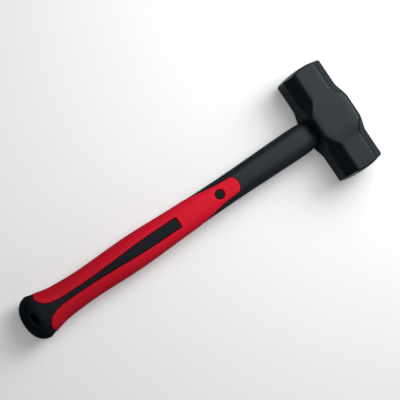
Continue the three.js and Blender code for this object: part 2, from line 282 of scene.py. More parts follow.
def set_in(points, distance):
    """A plan polyline moved sideways: to the left of its direction of travel."""
    step = np.gradient(points, axis=0)
    step /= np.linalg.norm(step, axis=1, keepdims=True)
    return points + distance * np.stack([-step[:, 1], step[:, 0]], axis=1)


def arc(centre, radius_x, radius_y, start, end, count=40):
    angle = np.linspace(start, end, count)
    return np.stack([centre[0] + radius_x * np.cos(angle), centre[1] + radius_y * np.sin(angle)], axis=1)


def to_surface(plan, spacing, reach_side=False):
    """A plan polyline as (x, turn) pairs on the front, cut where it reaches the handle's side."""
    x, y = plan.T
    b = section(x)[0]
    if reach_side:
        last = int(np.argmax(y >= b))
        share = (b[last - 1] - y[last - 1]) / ((y[last] - y[last - 1]) - (b[last] - b[last - 1]))
        end = x[last - 1] + share * (x[last] - x[last - 1])
        run = 1 - np.linspace(1, 0, 200) ** 2  # closes up towards the side, where the turn changes fastest
        near = x[last - 1] + run * (end - x[last - 1])
        near_y = y[last - 1] + run * share * (y[last] - y[last - 1])
        x = np.r_[x[: last - 1], near]
        y = np.r_[y[: last - 1], near_y]
    turn = turn_at_width(x, y)
    if reach_side:
        turn[-1] = 0
    turn = np.where(y < TINY, FRONT, turn)
    pairs = np.stack([x, turn], axis=1)
    flat = LongChart.flatten(*pairs.T)
    along = np.r_[0, np.cumsum(np.linalg.norm(np.diff(flat, axis=0), axis=1))]
    count = max(3, round(along[-1] / spacing) + 1)
    even = np.linspace(0, along[-1], count)
    return np.stack([np.interp(even, along, c) for c in pairs.T], axis=1)


def tongue_plan(grow):
    """From the tongue's tip, on the centre line, back to beyond the handle's side."""
    tip = arc((TONGUE_BASE, 0), TONGUE_TIP - TONGUE_BASE + grow, TONGUE_HALF_WIDTH + grow, 0, FRONT)
    t = np.linspace(0, 1, 30)[1:, None]
    base = np.array([TONGUE_BASE, TONGUE_HALF_WIDTH + grow])
    bend = np.array([TONGUE_NECK, NECK_HALF_WIDTH + grow])
    neck = np.array([TONGUE_NECK - NECK_RUN, NECK_HALF_WIDTH + NECK_GROWTH + grow])
    blend = base * (1 - t) ** 2 + bend * 2 * t * (1 - t) + neck * t**2
    shoulder = np.array([SHOULDER_OF_GRIP, SHOULDER_HALF_WIDTH + grow])
    straight = neck + (shoulder - neck) * np.linspace(0, 1, 200)[1:, None]
    return np.vstack([tip, blend, straight])


def channel_plan(inset, stop=None):
    """From the inlay's square end, on the centre line, to beyond the handle's side or to a place."""
    side = set_in(spline(CHANNEL), inset)
    end_x = CHANNEL[0][0] - inset
    side = side[side[:, 0] < end_x - CORNER]
    if stop is not None:
        side = side[side[:, 0] > stop]
    corner = CORNER - min(inset, CORNER / 2)
    half = side[0, 1]
    rounded = arc((end_x - corner, half - corner), corner, corner, 0, FRONT, 12)
    square = np.stack([np.full(12, end_x), np.linspace(0, half - corner, 12)], axis=1)
    return np.vstack([square[:-1], rounded, side])


# ---------------------------------------------------------------------------------------------------
# Sheets
# ---------------------------------------------------------------------------------------------------


def rounded_edge(radius, top, steps=4):
    """Distances in from an edge and heights there, for an edge rounded to a radius."""
    angles = np.linspace(0, FRONT, steps + 1)
    return [(radius * (1 - math.cos(t)), top - radius * (1 - math.sin(t))) for t in angles]


def move_in(rim, distance):
    """A rim moved along the surface, to the left of its direction of travel. Its ends stay on the seams."""
    if distance == 0:
        return rim
    point, normal = surface(*rim.T)
    along = np.gradient(point, axis=0)
    for end, seam_turn in ((0, rim[0, 1]), (-1, rim[-1, 1])):
        if at_front(seam_turn):
            along[end] = np.cross(normal[end], np.cross(along[end], normal[end]))
            along[end, [0, 2]] = 0
        elif at_side(seam_turn):
            along[end, [0, 1]] = 0
    inward = np.cross(normal, along)
    inward /= np.linalg.norm(inward, axis=1, keepdims=True)
    x, y, z = (point + distance * inward).T
    turn = turn_of(x, y, z)
    for end in (0, -1):
        if at_front(rim[end, 1]):
            turn[end] = FRONT
        elif at_side(rim[end, 1]):
            turn[end] = 0
    return np.stack([x, turn], axis=1)


def inside(points, polygon):
    """Which points lie inside a closed polygon."""
    x, y = points[:, :1], points[:, 1:]
    x0, y0 = polygon.T
    x1, y1 = np.roll(polygon, -1, axis=0).T
    spans = (y0 > y) != (y1 > y)
    rise = np.where(y1 == y0, 1, y1 - y0)
    crossing = x < (x1 - x0) * (y - y0) / rise + x0
    return (spans & crossing).sum(axis=1) % 2 == 1


def clearance(points, line):
    """Each point's distance to a polyline."""
    start, edge = line[:-1], np.diff(line, axis=0)
    length = np.maximum((edge**2).sum(axis=1), 1e-18)
    nearest = []
    for block in np.array_split(points, len(points) // 2000 + 1):
        away = block[:, None, :] - start
        share = np.clip((away * edge).sum(axis=2) / length, 0, 1)
        nearest.append(np.linalg.norm(away - share[..., None] * edge, axis=2).min(axis=1))
    return np.concatenate(nearest)


class Sheet:
    """Points (x, turn, height) over a quarter of the handle and the triangles between them."""

    def __init__(self, rims, top, spacing, chart=LongChart):
        """rims is a list of (rim, [(distance in, height), ...]) in counter-clockwise order in the chart.
        Seams join each rim's end to the next rim's start."""
        self.points, self.rims = [], []
        boundary, inner, seam_ends = [], [], []
        for rim, edge in rims:
            loops = []
            for distance, height in edge:
                moved = move_in(rim, distance)
                first = len(self.points)
                self.points += [(x, turn, height) for x, turn in moved]
                loops.append(list(range(first, len(self.points))))
            self.rims.append(loops[0])
            inner += loops[1:]
            seam_ends.append(([loop[0] for loop in loops], [loop[-1] for loop in loops]))
        for k, loop in enumerate(self.rims):
            boundary += loop
            leaving = seam_ends[k][1][1:]
            arriving = seam_ends[(k + 1) % len(rims)][0][:0:-1]
            here = leaving[-1] if leaving else loop[-1]
            there = arriving[0] if arriving else self.rims[(k + 1) % len(rims)][0]
            boundary += leaving + self._seam(here, there, top, spacing, chart) + arriving
        flat = chart.flatten(*np.array(self.points)[:, :2].T)
        polygon = flat[boundary]
        low, high = polygon.min(axis=0), polygon.max(axis=0)
        rows = np.arange(low[1], high[1], spacing * math.sqrt(3) / 2)
        grid = [
            (x + (i % 2) * spacing / 2, y)
            for i, y in enumerate(rows)
            for x in np.arange(low[0], high[0], spacing)
        ]
        grid = np.array(grid).reshape(-1, 2)
        grid = grid[inside(grid, polygon)]
        grid = grid[clearance(grid, np.vstack([polygon, polygon[:1]])) > spacing * 0.45]
        for loop, (_, edge) in zip(self.rims, rims):
            if len(edge) > 1:
                grid = grid[clearance(grid, flat[loop]) > edge[-1][0] + spacing * 0.45]
        x, turn = chart.unflatten(grid)
        self.points += [(*pair, top) for pair in zip(x, turn)]
        flat = np.vstack([flat, grid])
        edges = [pair for loop in inner for pair in zip(loop, loop[1:])]
        result = geometry.delaunay_2d_cdt(
            [Vector(p) for p in flat.tolist()], edges, [boundary], 1, 1e-8
        )
        owners = [origin[0] if origin else None for origin in result[3]]
        if None in owners:
            raise RuntimeError("a sheet's edges cross")
        self.triangles = []
        for face in result[2]:
            corners = [owners[i] for i in face]
            (ax, ay), (bx, by), (cx, cy) = flat[corners]
            if (bx - ax) * (cy - ay) - (by - ay) * (cx - ax) < 0:
                corners.reverse()
            self.triangles.append(corners)
        self.points = np.array(self.points)

    def _seam(self, here, there, top, spacing, chart):
        """Adds points between two points on one seam and returns their numbers."""
        (x0, turn0, _), (x1, turn1, _) = self.points[here], self.points[there]
        flat = chart.flatten(np.array([x0, x1]), np.array([turn0, turn1]))
        count = max(1, round(float(np.linalg.norm(flat[1] - flat[0])) / spacing))
        between = flat[0] + (flat[1] - flat[0]) * np.linspace(0, 1, count + 1)[1:-1, None]
        x, _ = chart.unflatten(between)
        turn = turn1 if math.isclose(x0, BUTT_END, abs_tol=TINY) else turn0
        first = len(self.points)
        self.points += [(place, turn, top) for place in x]
        return list(range(first, len(self.points)))

    def positions(self):
        point, normal = surface(self.points[:, 0], self.points[:, 1])
        return on_seams(point + self.points[:, 2:] * normal, self.points[:, 1])


class Quarter:
    """Collects the faces of one quarter of a piece and mirrors it into a closed mesh."""

    def __init__(self):
        self.vertices, self.faces = [], []

    def add_points(self, positions):
        first = len(self.vertices)
        self.vertices += [tuple(p) for p in positions]
        return list(range(first, len(self.vertices)))

    def add_sheet(self, sheet, outward=True):
        """Adds a sheet and returns the vertex numbers of each of its rims."""
        first = len(self.vertices)
        self.add_points(sheet.positions())
        for triangle in sheet.triangles:
            corners = [first + i for i in triangle]
            self.faces.append(corners if outward else corners[::-1])
        return [[first + i for i in rim] for rim in sheet.rims]

    def bridge(self, upper, lower):
        """Joins two lines of vertices of the same length. Seen from outside, upper runs to the right."""
        for a, b, c, d in zip(upper, upper[1:], lower[1:], lower):
            self.faces.append([a, d, c, b])

    def fan(self, line, centre):
        for a, b in zip(line, line[1:]):
            self.faces.append([a, b, centre])

    def piece(self, name, mirrors=("y", "z"), flip_front_to_back=False):
        """The whole piece: the quarter mirrored in the named axes, as an object."""
        mesh = bmesh.new()
        made = [mesh.verts.new(v) for v in self.vertices]
        for face in self.faces:
            mesh.faces.new([made[i] for i in face])
        for axis in mirrors:
            index = "xyz".index(axis)
            copied = bmesh.ops.duplicate(mesh, geom=mesh.verts[:] + mesh.edges[:] + mesh.faces[:])["geom"]
            for v in [g for g in copied if isinstance(g, bmesh.types.BMVert)]:
                v.co[index] = -v.co[index]
            bmesh.ops.reverse_faces(mesh, faces=[g for g in copied if isinstance(g, bmesh.types.BMFace)])
        if flip_front_to_back:
            for v in mesh.verts:
                v.co.z = -v.co.z
            bmesh.ops.reverse_faces(mesh, faces=mesh.faces[:])
        bmesh.ops.remove_doubles(mesh, verts=mesh.verts[:], dist=2e-7)
        bmesh.ops.recalc_face_normals(mesh, faces=mesh.faces[:])
        bmesh.ops.translate(mesh, verts=mesh.verts[:], vec=(0, 0, AXIS_Z))
        return finish_mesh(name, mesh)


def finish_mesh(name, mesh, sharp_angle=40):
    """A bmesh as an object with smooth shading that breaks at sharp edges."""
    data = bpy.data.meshes.new(name)
    mesh.to_mesh(data)
    mesh.free()
    data.polygons.foreach_set("use_smooth", [True] * len(data.polygons))
    data.set_sharp_from_angle(angle=math.radians(sharp_angle))
    piece = bpy.data.objects.new(name, data)
    bpy.context.scene.collection.objects.link(piece)
    return piece


# ---------------------------------------------------------------------------------------------------
# Handle pieces
# ---------------------------------------------------------------------------------------------------

GRIP_PROUD = 0.5 * MM  # the grip's surface above the bare shaft's
GRIP_DEPTH = -3 * MM  # the grip's inner face
CARRIER_DEPTH = GRIP_DEPTH - GAP
PAD_SUNK = -0.3 * MM  # the surface of the inlays and plugs
PAD_SLACK = 0.4 * MM  # how much smaller than its pocket a pad is moulded
GRIP_EDGE = 1.1 * MM  # radius of the grip's edges
PAD_EDGE = 0.4 * MM
HARD_EDGE = 0.3 * MM
FINE = 0.45 * MM  # spacing along an outline
SEEN, HIDDEN = 1.2 * MM, 4 * MM  # spacing over surfaces that show and surfaces that don't
PAD_SEEN, PAD_HIDDEN = 1 * MM, 3 * MM
CAP_SEEN, CAP_HIDDEN = 0.9 * MM, 2 * MM
COLLAR_ROWS = [(distance * MM, 0) for distance in (0, 0.15, 0.4, 0.8, 1.3, 1.9)]  # close up at the rounding
TANG_EDGE = 0.4 * MM


def at_depth(depth):
    return [(0, depth)]


def plug_arc(radius, spacing):
    """Half a circle about the plug's middle, from the butt side to the head side."""
    plan = arc((PLUG_X, 0), -radius, radius, 0, math.pi, 90)
    plan[[0, -1], 1] = 0
    return to_surface(plan, spacing)


def build_grip():
    tongue = to_surface(tongue_plan(0), FINE, reach_side=True)
    channel = to_surface(channel_plan(0), FINE, reach_side=True)[::-1]
    plug = plug_arc(PLUG_RADIUS + GAP, FINE)
    edge = rounded_edge(GRIP_EDGE, GRIP_PROUD)
    rims = (plug, tongue, channel)
    outer = Sheet([(rim, edge) for rim in rims], GRIP_PROUD, SEEN)
    inner = Sheet([(rim, at_depth(GRIP_DEPTH)) for rim in rims], GRIP_DEPTH, HIDDEN)
    quarter = Quarter()
    tops = quarter.add_sheet(outer)
    bottoms = quarter.add_sheet(inner, outward=False)
    for top, bottom in zip(tops, bottoms):
        quarter.bridge(top, bottom)
    return quarter.piece("soft_grip_skin")


def build_inlay(side):
    rim = channel_plan(GAP + PAD_SLACK, stop=INLAY_TAIL)
    tail = np.stack([np.full(8, INLAY_TAIL), np.linspace(rim[-1, 1], 0, 8)], axis=1)
    rim = to_surface(np.vstack([rim, tail]), FINE)
    return build_pad("palm_inlay_" + side, rim, side)


def build_plug(side):
    rim = plug_arc(PLUG_RADIUS - PAD_SLACK, FINE)[::-1]
    return build_pad("tongue_plug_" + side, rim, side)


def build_pad(name, rim, side):
    """A thin pad let into the grip: a top with rounded edges, walls and an underside."""
    outer = Sheet([(rim, rounded_edge(PAD_EDGE, PAD_SUNK))], PAD_SUNK, PAD_SEEN)
    inner = Sheet([(rim, at_depth(GRIP_DEPTH))], GRIP_DEPTH, PAD_HIDDEN)
    quarter = Quarter()
    tops = quarter.add_sheet(outer)
    bottoms = quarter.add_sheet(inner, outward=False)
    quarter.bridge(tops[0], bottoms[0])
    return quarter.piece(name + "_skin", mirrors=("y",), flip_front_to_back=side == "back")


def across(x, count=40):
    """A rim straight across the surface at one place, from the front line to the side line."""
    turns = turn_from_polar(np.full(count, x), np.linspace(0, FRONT, count))
    turns[0], turns[-1] = FRONT, 0
    return np.stack([np.full(count, x), turns], axis=1)


def ellipse_line(x, half_width, half_thickness, squareness, turns):
    """Points of a superellipse section at the given turns."""
    y = half_width * np.clip(np.cos(turns), 0, 1) ** (2 / squareness)
    z = half_thickness * np.clip(np.sin(turns), 0, 1) ** (2 / squareness)
    return on_seams(np.stack([np.full(len(turns), x), y, z], axis=1), turns)


EYE_SQUARENESS = 2.4
TANG_HALF_WIDTH, TANG_HALF_THICKNESS = 12.5 * MM, 9.5 * MM
CORE_HALF_WIDTH = core_high.y
CORE_HALF_THICKNESS = (core_high.z - core_low.z) / 2


def build_jacket():
    tongue = to_surface(tongue_plan(GAP), FINE, reach_side=True)
    collar = across(SHOULDER)
    outer = Sheet([(collar, COLLAR_ROWS), (tongue[::-1], rounded_edge(HARD_EDGE, 0))], 0, SEEN)
    tail = across(jacket_low.x)[::-1]
    carrier = Sheet([(rim, at_depth(CARRIER_DEPTH)) for rim in (tongue, tail)], CARRIER_DEPTH, HIDDEN)
    quarter = Quarter()
    collar_rim, step_top = quarter.add_sheet(outer)
    step_bottom, tail_rim = quarter.add_sheet(carrier)
    quarter.bridge(step_top, step_bottom[::-1])
    turns = collar[:, 1]
    bore = (CORE_HALF_WIDTH + GAP, CORE_HALF_THICKNESS + GAP, EYE_SQUARENESS)
    tang = (TANG_HALF_WIDTH, TANG_HALF_THICKNESS, EYE_SQUARENESS)
    lines = [collar_rim]
    for x, shape in (
        (SHOULDER, tang),
        (jacket_high.x - TANG_EDGE, tang),
        (jacket_high.x, (tang[0] - TANG_EDGE, tang[1] - TANG_EDGE, tang[2])),
        (jacket_high.x, bore),
        (core_low.x - GAP, bore),
    ):
        lines.append(quarter.add_points(ellipse_line(x, *shape, turns)))
    for near, far in zip(lines, lines[1:]):
        quarter.bridge(near, far)
    quarter.fan(lines[-1], *quarter.add_points([(core_low.x - GAP, 0, 0)]))
    quarter.fan(tail_rim, *quarter.add_points([(jacket_low.x, 0, 0)]))
    return quarter.piece("handle_jacket_skin")


def build_cap():
    """The butt cap, with the hang hole through it and a socket for the jacket's end."""
    tail_x = INLAY_TAIL - GAP
    side = set_in(spline(CHANNEL), GAP)
    side = side[side[:, 0] < tail_x]
    tail = np.stack([np.full(8, tail_x), np.linspace(0, side[0, 1], 8)], axis=1)
    rim = to_surface(np.vstack([tail[:-1], side]), FINE, reach_side=True)
    radius = HOLE_LENGTH / 2
    straight = HOLE_WIDTH / 2 - radius
    end = arc((HOLE_X, straight), -radius, radius, 0, math.pi)
    hole = to_surface(np.vstack([[(HOLE_X - radius, 0)], end, [(HOLE_X + radius, 0)]]), FINE)
    tip = np.array([[BUTT_END, FRONT]])
    rims = [(tip, [(0, 0)]), (hole, rounded_edge(HOLE_EDGE, 0, 6)), (rim, rounded_edge(HARD_EDGE, 0))]
    outer = Sheet(rims, 0, CAP_SEEN, DomeChart)
    socket_x = jacket_low.x - GAP
    floor = across(socket_x)[::-1]
    inner = Sheet([(rim, at_depth(GRIP_DEPTH)), (floor, at_depth(GRIP_DEPTH))], GRIP_DEPTH, CAP_HIDDEN)
    quarter = Quarter()
    _, hole_rim, top = quarter.add_sheet(outer)
    bottom, floor_rim = quarter.add_sheet(inner, outward=False)
    quarter.bridge(top, bottom)
    quarter.fan(floor_rim[::-1], *quarter.add_points([(socket_x, 0, 0)]))
    lines = [hole_rim]
    start = np.array([quarter.vertices[i] for i in hole_rim])
    for share in (0.75, 0.5, 0.25, 0):
        lines.append(quarter.add_points(start * (1, 1, share)))
    for near, far in zip(lines, lines[1:]):
        quarter.bridge(near, far)
    return quarter.piece("butt_cap_skin")


# ---------------------------------------------------------------------------------------------------
# The head, and what fills its eye
# ---------------------------------------------------------------------------------------------------

HEAD_HALF = head_high.y
CHEEK = (head_high.z - head_low.z) / 2
FLATS = 23.8 * MM  # half the distance across the octagonal ends' flats
BOSS = 16.5 * MM  # half the length of the square boss
CUT, BOSS_CUT = 11.8 * MM, 2.5 * MM  # how far each corner is set back
RUN_OUT = ((-6, 0), (-1, 0.2), (4.3, 0.57), (8.5, 0.86), (12, 1))  # mm past the boss, share of the cut
FILLET, BOSS_FILLET = 5 * MM, 4.2 * MM  # radius at the corners
CROWNING = 1.2 * MM  # how far the boss's cheeks bow
CROWNING_START = 15 * MM  # from the middle of the cheek
FACE_RADIUS = 80 * MM  # of a striking face, across the head
FACE_SQUARENESS = 3  # above 1, the face runs straighter than that from cheek to cheek
RIM_REACH, RIM_RISE = 5 * MM, 2.8 * MM  # the rounding round a striking face
RIM_TURN = math.radians(78)  # how far round the rim turns before the crowned face takes over

half_at = profile((0, CHEEK), (BOSS - 3 * MM, CHEEK), (BOSS + 15 * MM, FLATS), (HEAD_HALF, FLATS))
cut_at = profile(
    (0, BOSS_CUT),
    *((BOSS + past * MM, BOSS_CUT + share * (CUT - BOSS_CUT)) for past, share in RUN_OUT),
    (HEAD_HALF, CUT),
)
fillet_at = profile((0, BOSS_FILLET), (BOSS, BOSS_FILLET), (BOSS + 12 * MM, FILLET), (HEAD_HALF, FILLET))
crowning_at = profile((0, CROWNING), (BOSS, CROWNING), (BOSS + 8 * MM, 0), (HEAD_HALF, 0))


def head_ring(half, cut, fillet, crowning, arc_steps=6, flat_steps=12):
    """One section of the head: a square with cut and filleted corners and bowed cheeks.
    Points are complex: the real part is towards the cheek, the imaginary one towards the crown."""
    to_tangent = fillet * math.tan(math.pi / 8)
    arcs = []
    for quarter in range(4):
        for corner, heading in ((half + (half - cut) * 1j, FRONT), (half - cut + half * 1j, FRONT * 1.5)):
            along = np.exp(1j * heading)
            centre = corner - along * to_tangent + along * 1j * fillet
            angles = heading - FRONT + np.linspace(0, math.pi / 4, arc_steps + 1)
            arcs.append((centre + fillet * np.exp(1j * angles)) * 1j**quarter)
    parts = []
    for here, there in zip(arcs, arcs[1:] + arcs[:1]):
        parts += [here, np.linspace(here[-1], there[0], flat_steps + 1)[1:-1]]
    ring = np.concatenate(parts)
    share = np.clip((abs(ring.imag) - CROWNING_START) / (CHEEK - CROWNING_START), 0, 1)
    return ring.real * (1 - crowning / CHEEK * share**2) + 1j * ring.imag


def head_stations():
    """Each ring from the middle of the head to one face: its distance and the share of the width left."""
    rim_start = face_height(FLATS - RIM_REACH * (1 - math.cos(RIM_TURN))) - RIM_RISE * math.sin(RIM_TURN)
    stations = [(y, 1) for y in np.linspace(0, BOSS - 8 * MM, 6)]
    stations += [(y, 1) for y in np.linspace(BOSS - 7 * MM, BOSS + 13 * MM, 36)]
    stations += [(y, 1) for y in np.linspace(BOSS + 15 * MM, rim_start, 10)]
    for turn in np.linspace(0, RIM_TURN, 12)[1:]:
        reach = FLATS - RIM_REACH * (1 - math.cos(turn))
        stations.append((rim_start + RIM_RISE * math.sin(turn), reach / FLATS))
    last = stations[-1][1]
    stations += [(face_height(FLATS * shrink), shrink) for shrink in np.linspace(last, 0.04, 14)[1:]]
    return stations


def face_height(reach):
    return HEAD_HALF - reach**2 / (2 * FACE_RADIUS)


def build_head():
    mesh = bmesh.new()
    half_rings = head_stations()
    stations = [(-y, shrink) for y, shrink in half_rings[:0:-1]] + half_rings
    rings = []
    for y, shrink in stations:
        distance = abs(y)
        ring = head_ring(*(float(size(distance)) for size in (half_at, cut_at, fillet_at, crowning_at)))
        rise = 1 - (1 - shrink) ** FACE_SQUARENESS
        rings.append([mesh.verts.new((p.imag * shrink, y, p.real * rise + AXIS_Z)) for p in ring])
    for near, far in zip(rings, rings[1:]):
        for i, corner in enumerate(near):
            j = (i + 1) % len(near)
            mesh.faces.new([corner, near[j], far[j], far[i]])
    mesh.faces.new(rings[0][::-1])
    mesh.faces.new(rings[-1])
    bmesh.ops.recalc_face_normals(mesh, faces=mesh.faces[:])
    head = finish_mesh("hammer_head_forging", mesh)
    cutter = build_eye_cutter()
    cut = head.modifiers.new("eye", "BOOLEAN")
    cut.object, cut.solver = cutter, "EXACT"
    bake_modifiers(head)
    bpy.data.objects.remove(cutter)
    head.data.set_sharp_from_angle(angle=math.radians(40))
    return head


def bake_modifiers(piece):
    """Replaces a piece's mesh with what its modifiers make of it."""
    depsgraph = bpy.context.evaluated_depsgraph_get()
    made = bpy.data.meshes.new_from_object(piece.evaluated_get(depsgraph))
    piece.modifiers.clear()
    piece.data = made


EYE_HALF_WIDTH, EYE_HALF_THICKNESS, EYE_FLARE = 15 * MM, 12 * MM, 0.5 * MM
EYE_LIP = 1.2 * MM  # rounding at its mouths
EYE_SIDES = 128
POTTING = 0.08 * MM  # between the resin or seal and the walls it fills
POTTING_EDGE = 0.2 * MM
CORE_EDGE = 0.3 * MM


def eye_ring(x, inset=0.0):
    """The eye's outline at a place, set in by a distance."""
    grow = EYE_FLARE * x / CHEEK - inset
    return EYE_HALF_WIDTH + grow, EYE_HALF_THICKNESS + grow


def oval(half_width, half_thickness, squareness=EYE_SQUARENESS, sides=EYE_SIDES):
    """A whole superellipse, counter-clockwise seen from the crown."""
    angle = np.linspace(0, 2 * math.pi, sides, endpoint=False)
    y = np.sign(np.cos(angle)) * np.abs(np.cos(angle)) ** (2 / squareness) * half_width
    z = np.sign(np.sin(angle)) * np.abs(np.sin(angle)) ** (2 / squareness) * half_thickness
    return np.stack([y, z], axis=1)


def sweep_rings(name, rings, closed):
    """A body from rings of (x, oval points). A closed one joins its last ring to its first."""
    mesh = bmesh.new()
    made = [[mesh.verts.new((x, y, z + AXIS_Z)) for y, z in ring] for x, ring in rings]
    pairs = list(zip(made, made[1:])) + ([(made[-1], made[0])] if closed else [])
    for near, far in pairs:
        for i, corner in enumerate(near):
            j = (i + 1) % len(near)
            mesh.faces.new([corner, near[j], far[j], far[i]])
    if not closed:
        mesh.faces.new(made[0][::-1])
        mesh.faces.new(made[-1])
    bmesh.ops.recalc_face_normals(mesh, faces=mesh.faces[:])
    return finish_mesh(name, mesh)


def build_eye_cutter():
    """A plug for cutting the eye: it flares from end to end, and rounds outwards at both mouths."""
    turns = np.linspace(0, FRONT, 7)
    rounding = [(EYE_LIP * (1 - math.cos(t)), EYE_LIP * (1 - math.sin(t))) for t in turns]
    places = [(-CHEEK + depth, widen) for widen, depth in rounding[::-1]]
    places += [(CHEEK - depth, widen) for widen, depth in rounding]
    beyond = 1 * MM
    places = [(-CHEEK - beyond, EYE_LIP), *places, (CHEEK + beyond, EYE_LIP)]
    return sweep_rings("eye_cutter", [(x, oval(*eye_ring(x, -widen))) for x, widen in places], closed=False)


def build_eye_filler(name, start, end, dip):
    """A ring in the eye round the tang, whose crown side is dished by a dip."""
    inner = oval(TANG_HALF_WIDTH + POTTING, TANG_HALF_THICKNESS + POTTING)
    wide = oval(*eye_ring(end, POTTING))
    rings = [(start, inner), (start, oval(*eye_ring(start, POTTING))), (end - POTTING_EDGE, wide)]
    for share in np.linspace(1, 0, 9):
        sag = dip * (1 - (2 * share - 1) ** 2)
        rings.append((end - sag, inner + (wide - inner) * share))
    return sweep_rings(name, rings, closed=True)


def build_core():
    ends = (
        (core_low.x, CORE_EDGE),
        (core_low.x + CORE_EDGE, 0),
        (core_high.x - CORE_EDGE, 0),
        (core_high.x, CORE_EDGE),
    )
    rings = [(x, oval(CORE_HALF_WIDTH - inset, CORE_HALF_THICKNESS - inset)) for x, inset in ends]
    return sweep_rings("fibreglass_core_rod", rings, closed=False)


# ---------------------------------------------------------------------------------------------------
# Build
# ---------------------------------------------------------------------------------------------------

pieces = {
    "hammer_head": build_head(),
    "fibreglass_core": build_core(),
    "handle_jacket": build_jacket(),
    "soft_grip": build_grip(),
    "palm_inlay_front": build_inlay("front"),
    "palm_inlay_back": build_inlay("back"),
    "tongue_plug_front": build_plug("front"),
    "tongue_plug_back": build_plug("back"),
    "butt_cap": build_cap(),
    "eye_epoxy": build_eye_filler("eye_epoxy_fill", resin_low.x, resin_high.x, 0.8 * MM),
    "eye_seal": build_eye_filler("eye_seal_ring", seal_low.x, seal_high.x, 0),
}

# ---------------------------------------------------------------------------------------------------
# Materials
# ---------------------------------------------------------------------------------------------------


class Finish:
    """A procedural material under construction: a Principled shader and the nodes that feed it."""

    def __init__(self, name, **settings):
        self.material = bpy.data.materials.new(name)
        self.material.use_nodes = True
        self.tree = self.material.node_tree
        self.shader = self.tree.nodes["Principled BSDF"]
        self.place = self.tree.nodes.new("ShaderNodeTexCoord").outputs["Object"]
        for key, value in settings.items():
            self.feed(key.replace("_", " "), value)

    def feed(self, name, value):
        self.connect(value, self.shader.inputs[name])

    def connect(self, value, socket):
        if isinstance(value, bpy.types.NodeSocket):
            self.tree.links.new(value, socket)
        elif isinstance(value, tuple) and socket.type == "RGBA":
            socket.default_value = (*value, 1)
        else:
            socket.default_value = value

    def noise(self, size, detail=2.0, stretch=(1, 1, 1), roughness=0.5):
        """Noise from 0 to 1 whose features are about a size across, longer along a stretched axis."""
        mapping = self.tree.nodes.new("ShaderNodeMapping")
        mapping.inputs["Scale"].default_value = [1 / (size * s) for s in stretch]
        self.tree.links.new(self.place, mapping.inputs["Vector"])
        node = self.tree.nodes.new("ShaderNodeTexNoise")
        node.inputs["Scale"].default_value = 1
        node.inputs["Detail"].default_value = detail
        node.inputs["Roughness"].default_value = roughness
        self.tree.links.new(mapping.outputs["Vector"], node.inputs["Vector"])
        return node.outputs["Fac"]

    def math(self, operation, *values, clamp=False):
        node = self.tree.nodes.new("ShaderNodeMath")
        node.operation, node.use_clamp = operation, clamp
        for value, socket in zip(values, node.inputs):
            self.connect(value, socket)
        return node.outputs[0]

    def span(self, value, low, high, to_low=0.0, to_high=1.0):
        """Maps low..high of a value to to_low..to_high and holds it there outside."""
        node = self.tree.nodes.new("ShaderNodeMapRange")
        for socket, number in zip(node.inputs, (value, low, high, to_low, to_high)):
            self.connect(number, socket)
        return node.outputs["Result"]

    def blend(self, share, first, second):
        node = self.tree.nodes.new("ShaderNodeMix")
        node.data_type = "RGBA"
        self.connect(share, node.inputs[0])
        self.connect(first, node.inputs[6])
        self.connect(second, node.inputs[7])
        return node.outputs[2]

    def axis(self, name):
        node = self.tree.nodes.new("ShaderNodeSeparateXYZ")
        self.tree.links.new(self.place, node.inputs[0])
        return node.outputs[name]

    def bump(self, *layers):
        """Feeds the normal with layers of (0-to-1 height, depth in metres)."""
        normal = None
        for height, depth in layers:
            node = self.tree.nodes.new("ShaderNodeBump")
            node.inputs["Strength"].default_value = 1
            node.inputs["Distance"].default_value = depth
            self.connect(height, node.inputs["Height"])
            if normal:
                self.tree.links.new(normal, node.inputs["Normal"])
            normal = node.outputs["Normal"]
        self.feed("Normal", normal)


def forged_black():
    """Satin black paint over a forging, rubbed through to steel at the sides of the striking faces."""
    finish = Finish("forged_black", Specular_IOR_Level=0.215, Specular_Tint=(0.82, 0.97, 1))
    cloud = finish.noise(18 * MM, 3)
    speck = finish.noise(1.1 * MM, 2)
    along = finish.math("ABSOLUTE", finish.axis("Y"))
    from_rim = finish.math("ABSOLUTE", finish.math("SUBTRACT", along, HEAD_HALF - RIM_RISE))
    height = finish.math("ABSOLUTE", finish.math("SUBTRACT", finish.axis("Z"), AXIS_Z))
    rubbed = finish.math(
        "MULTIPLY",
        finish.span(from_rim, 0.25 * MM, 0.75 * MM, 0.75, 0),
        finish.span(height, FLATS - 4 * MM, FLATS - 1 * MM, 1, 0),  # the cheeks' ends keep their paint
    )
    wear = finish.math("ADD", rubbed, finish.noise(4 * MM, 4))
    bare = finish.span(wear, 0.85, 0.98)
    paint = finish.blend(cloud, (0.006, 0.0085, 0.0105), (0.011, 0.0135, 0.016))
    finish.feed("Base Color", finish.blend(bare, paint, (0.36, 0.35, 0.33)))
    finish.feed("Metallic", bare)
    sheen = finish.span(cloud, 0.3, 0.7, 0.25, 0.33)
    finish.feed("Roughness", finish.math("ADD", sheen, finish.span(speck, 0, 1, -0.02, 0.05)))
    finish.bump((cloud, 0.25 * MM), (finish.noise(5 * MM, 2), 0.05 * MM), (speck, 0.014 * MM))
    return finish.material


def hard_black():
    """Moulded black polypropylene with a fine spark-eroded grain."""
    finish = Finish("hard_black", Specular_IOR_Level=0.23, Specular_Tint=(0.88, 0.96, 1))
    cloud = finish.noise(25 * MM, 2)
    grain = finish.noise(0.45 * MM, 2)
    finish.feed("Base Color", finish.blend(cloud, (0.009, 0.0125, 0.017), (0.013, 0.0175, 0.023)))
    sheen = finish.span(cloud, 0.3, 0.7, 0.4, 0.46)
    finish.feed("Roughness", finish.math("ADD", sheen, finish.span(grain, 0, 1, 0, 0.06)))
    finish.bump((grain, 0.02 * MM), (finish.noise(9 * MM, 1), 0.03 * MM))
    return finish.material


